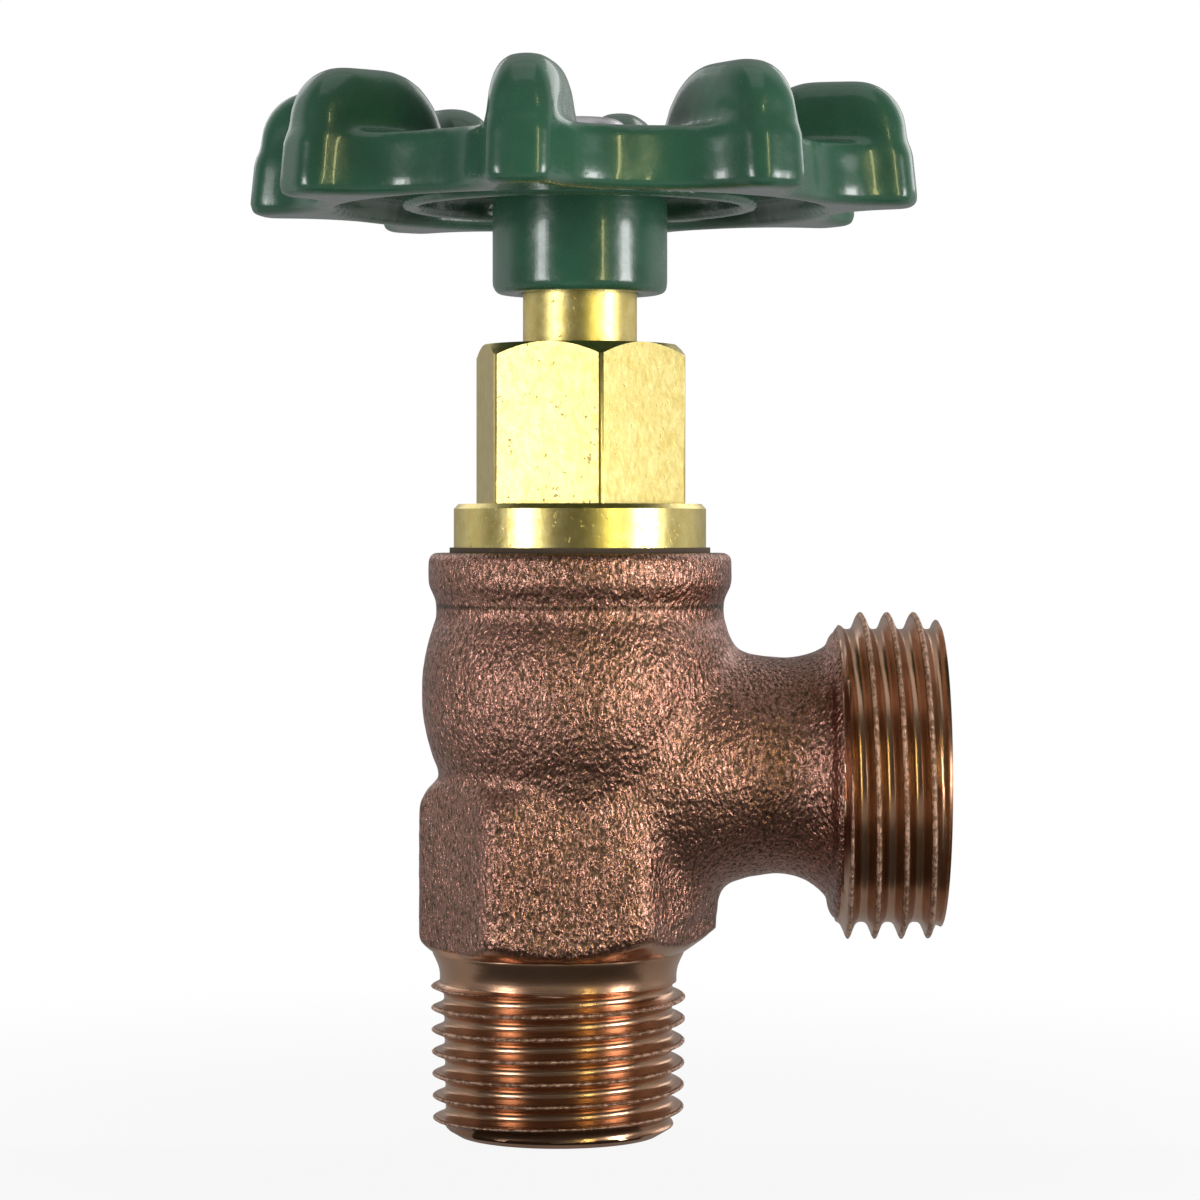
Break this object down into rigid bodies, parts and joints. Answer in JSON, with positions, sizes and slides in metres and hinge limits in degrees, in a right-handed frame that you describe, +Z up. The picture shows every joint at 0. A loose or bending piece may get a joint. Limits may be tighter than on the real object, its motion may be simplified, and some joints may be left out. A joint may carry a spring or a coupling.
{
  "type": "boiler drain valve",
  "caption": "Bronze angle drain valve with a male pipe thread below, a male hose thread at the side, a brass bonnet and stem, and a green lobed handwheel.",
  "frame": {"origin": "centre of the inlet's end face, on the axis of the inlet's pipe thread", "axes": "+Z up along the stem, +X out of the hose outlet, -Y the side pictured"},
  "size_m": [0.0572, 0.0548, 0.0866],
  "materials": {
    "bronze_casting": "sand-cast red bronze, threads machined bright",
    "brass_turned": "turned yellow brass",
    "green_enamel": "glossy dark green enamel over a casting",
    "seal_rubber": "black nitrile rubber",
    "gasket_fibre": "dark pressed fibre",
    "spring_steel": "zinc-plated steel"
  },
  "bodies": {
    "valve": {"valve_body": "bronze_casting", "bonnet": "brass_turned", "bonnet_gasket": "gasket_fibre"},
    "disc_carrier": {"disc_holder": "brass_turned", "holder_retaining_ring": "spring_steel", "seat_washer": "seal_rubber", "washer_retainer": "brass_turned", "seat_washer_screw": "brass_turned"},
    "spindle": {"stem": "brass_turned", "lower_stem_o_ring": "seal_rubber", "upper_stem_o_ring": "seal_rubber", "handwheel": "green_enamel", "lock_washer": "spring_steel", "handwheel_screw": "spring_steel"}
  },
  "joints": [
    {"name": "stem_lift", "type": "slide", "parent": "valve", "child": "disc_carrier", "axis": [0, 0, 1], "range_m": [0, 0.00508]},
    {"name": "handwheel_turn", "type": "hinge", "parent": "disc_carrier", "child": "spindle", "pos_m": [0.0018, 0, 0.028], "axis": [0, 0, 1], "range_deg": [0, 720]}
  ],
  "couplings": [
    {"joint": "stem_lift", "follows": "handwheel_turn", "m_per_rad": 0.00040425}
  ]
}
